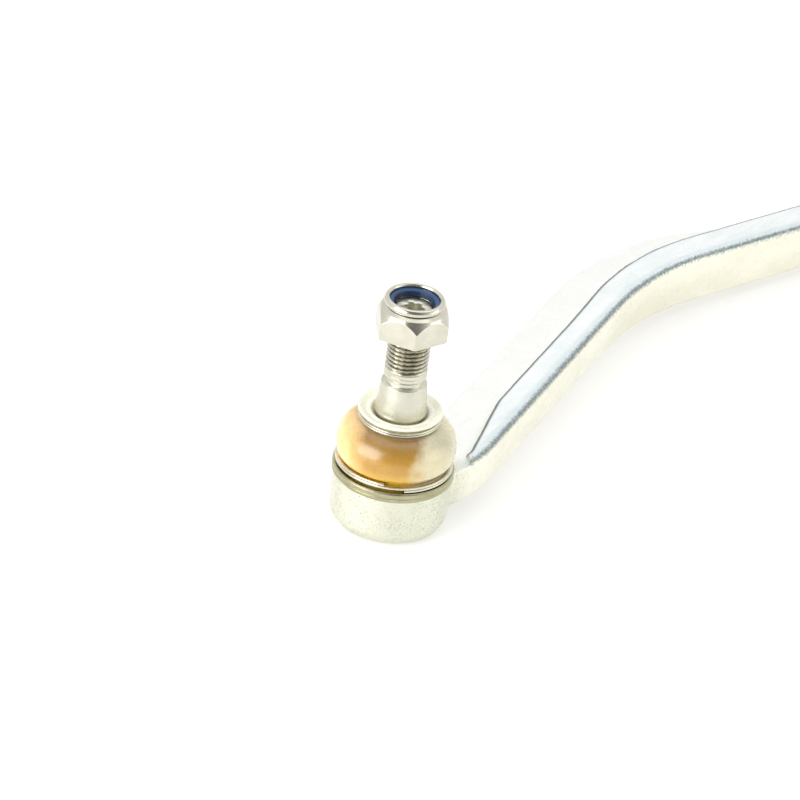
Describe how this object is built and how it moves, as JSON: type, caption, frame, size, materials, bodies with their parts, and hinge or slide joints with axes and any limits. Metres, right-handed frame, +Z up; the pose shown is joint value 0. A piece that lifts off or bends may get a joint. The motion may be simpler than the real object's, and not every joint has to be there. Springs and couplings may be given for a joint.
{
  "type": "tie rod end",
  "caption": "Ball joint with booted taper stud and self-locking nut, on a cranked forged arm that ends in a threaded shank with a jam nut.",
  "frame": {"origin": "on the ball joint's axis, in the plane the closed housing stands on", "axes": "+Z up the ball stud, +X along the threaded shank away from the ball joint, +Y towards the web side of the crank"},
  "size_m": [0.384, 0.0652, 0.0829],
  "materials": {
    "zinc_forging": "zinc plated over a shot-blasted forging, satin",
    "zinc_plate": "zinc plated pressing, satin",
    "spring_steel": "dark oiled spring steel",
    "acetal": "natural white, smooth",
    "boot_rubber": "amber translucent polyurethane, glossy",
    "ring_wire": "flat spring wire, yellowish, polished edges",
    "stud_steel": "ground and rolled steel, light oil",
    "nut_steel": "bright zinc plated",
    "blue_nylon": "blue nylon"
  },
  "bodies": {
    "root": {"forged_body": "zinc_forging", "closing_plate": "zinc_plate", "preload_spring": "spring_steel", "lower_seat": "acetal", "bearing_shell": "acetal", "boot_base_ring": "ring_wire"},
    "boot_middle": {"boot": "boot_rubber"},
    "boot_neck": {"boot_top_ring": "ring_wire"},
    "stud": {"ball_stud": "stud_steel"},
    "nut_travel": {"nut_insert": "blue_nylon"},
    "nut": {"lock_nut": "nut_steel"},
    "jam_travel": {"shank_washer": "zinc_plate"},
    "jam": {"jam_nut": "nut_steel"}
  },
  "joints": [
    {"name": "swing_x", "type": "hinge", "parent": "root", "child": "boot_middle", "pos_m": [0, 0, 0.0153], "axis": [1, 0, 0], "range_deg": [-18, 18], "deforming": ["boot"]},
    {"name": "swing_y", "type": "hinge", "parent": "boot_middle", "child": "boot_neck", "pos_m": [0, 0, 0.0153], "axis": [0, 1, 0], "range_deg": [-18, 18], "deforming": ["boot"]},
    {"name": "stud_spin", "type": "hinge", "parent": "boot_neck", "child": "stud", "pos_m": [0, 0, 0.0153], "axis": [0, 0, 1], "continuous": true},
    {"name": "nut_slide", "type": "slide", "parent": "stud", "child": "nut_travel", "axis": [0, 0, 1], "range_m": [-0.012, 0], "deforming": ["nut_insert"]},
    {"name": "nut_turn", "type": "hinge", "parent": "nut_travel", "child": "nut", "pos_m": [0, 0, 0.0702], "axis": [0, 0, 1], "range_deg": [-2880, 0]},
    {"name": "jam_slide", "type": "slide", "parent": "root", "child": "jam_travel", "axis": [1, 0, 0], "range_m": [-0.003, 0.015]},
    {"name": "jam_turn", "type": "hinge", "parent": "jam_travel", "child": "jam", "pos_m": [0.322, 0, 0.01275], "axis": [1, 0, 0], "range_deg": [-720, 3600]}
  ],
  "couplings": [
    {"joint": "nut_turn", "follows": "nut_slide", "rad_per_m": 4188.8},
    {"joint": "jam_turn", "follows": "jam_slide", "rad_per_m": 4188.8}
  ]
}
